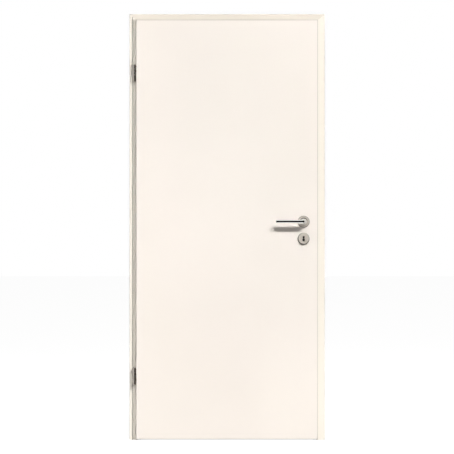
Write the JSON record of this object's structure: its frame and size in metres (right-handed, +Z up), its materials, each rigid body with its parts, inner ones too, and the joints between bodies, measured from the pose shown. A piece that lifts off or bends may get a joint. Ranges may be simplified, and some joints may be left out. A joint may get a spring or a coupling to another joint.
{
  "type": "interior door",
  "caption": "Flush rebated interior door leaf on two barrel hinges in a lined frame with mitred casings, seal, mortise lock and round lever handles.",
  "frame": {"origin": "on the outer face of the hinge-side lining, at the wall's front face and at finished floor level", "axes": "+Z up, +X from the hinge side to the lock side, -Y towards the side the leaf opens to"},
  "size_m": [0.926, 0.252, 2.018],
  "materials": {
    "frame_lacquer": "smooth satin lacquer, pale warm cream",
    "leaf_lacquer": "smooth satin lacquer, pale warm cream",
    "seal_rubber": "soft matt grey",
    "core_board": "raw tubular chipboard and softwood",
    "hinge_nickel": "satin nickel plate",
    "handle_polished": "polished, clear reflections",
    "rose_satin": "satin nickel plate",
    "plate_steel": "fine brushed",
    "bolt_steel": "bright nickel plate",
    "case_zinc": "dull zinc plate"
  },
  "bodies": {
    "frame": {"lining_hinge_side": "frame_lacquer", "lining_lock_side": "frame_lacquer", "lining_head": "frame_lacquer", "front_casing_hinge_side": "frame_lacquer", "front_casing_lock_side": "frame_lacquer", "front_casing_head": "frame_lacquer", "back_casing_hinge_side": "frame_lacquer", "back_casing_lock_side": "frame_lacquer", "back_casing_head": "frame_lacquer", "seal_hinge_side": "seal_rubber", "seal_lock_side": "seal_rubber", "seal_head": "seal_rubber", "strike_plate": "plate_steel", "hinge_upper_frame_part": "hinge_nickel", "hinge_lower_frame_part": "hinge_nickel"},
    "leaf": {"leaf_front_skin": "leaf_lacquer", "leaf_back_skin": "leaf_lacquer", "leaf_hinge_stile": "leaf_lacquer", "leaf_lock_stile": "leaf_lacquer", "leaf_top_rail": "leaf_lacquer", "leaf_bottom_rail": "leaf_lacquer", "leaf_core": "core_board", "leaf_lock_block": "core_board", "hinge_upper_leaf_part": "hinge_nickel", "hinge_lower_leaf_part": "hinge_nickel", "lock_case": "case_zinc", "lock_faceplate": "plate_steel", "latch_bolt": "bolt_steel", "dead_bolt": "bolt_steel", "front_rose": "rose_satin", "back_rose": "rose_satin", "front_key_escutcheon": "rose_satin", "back_key_escutcheon": "rose_satin"},
    "handle": {"lock_follower": "bolt_steel", "spindle": "bolt_steel", "front_lever": "handle_polished", "back_lever": "handle_polished"}
  },
  "joints": [
    {"name": "leaf_swing", "type": "hinge", "parent": "frame", "child": "leaf", "pos_m": [0.0047, -0.02825, 0.303], "axis": [0, 0, -1], "range_deg": [0, 175]},
    {"name": "lever_turn", "type": "hinge", "parent": "leaf", "child": "handle", "pos_m": [0.8067, -0.00825, 1.034], "axis": [0, -1, 0], "range_deg": [0, 38], "stiffness_Nm_per_rad": 1.2, "springref_deg": -20.05}
  ]
}
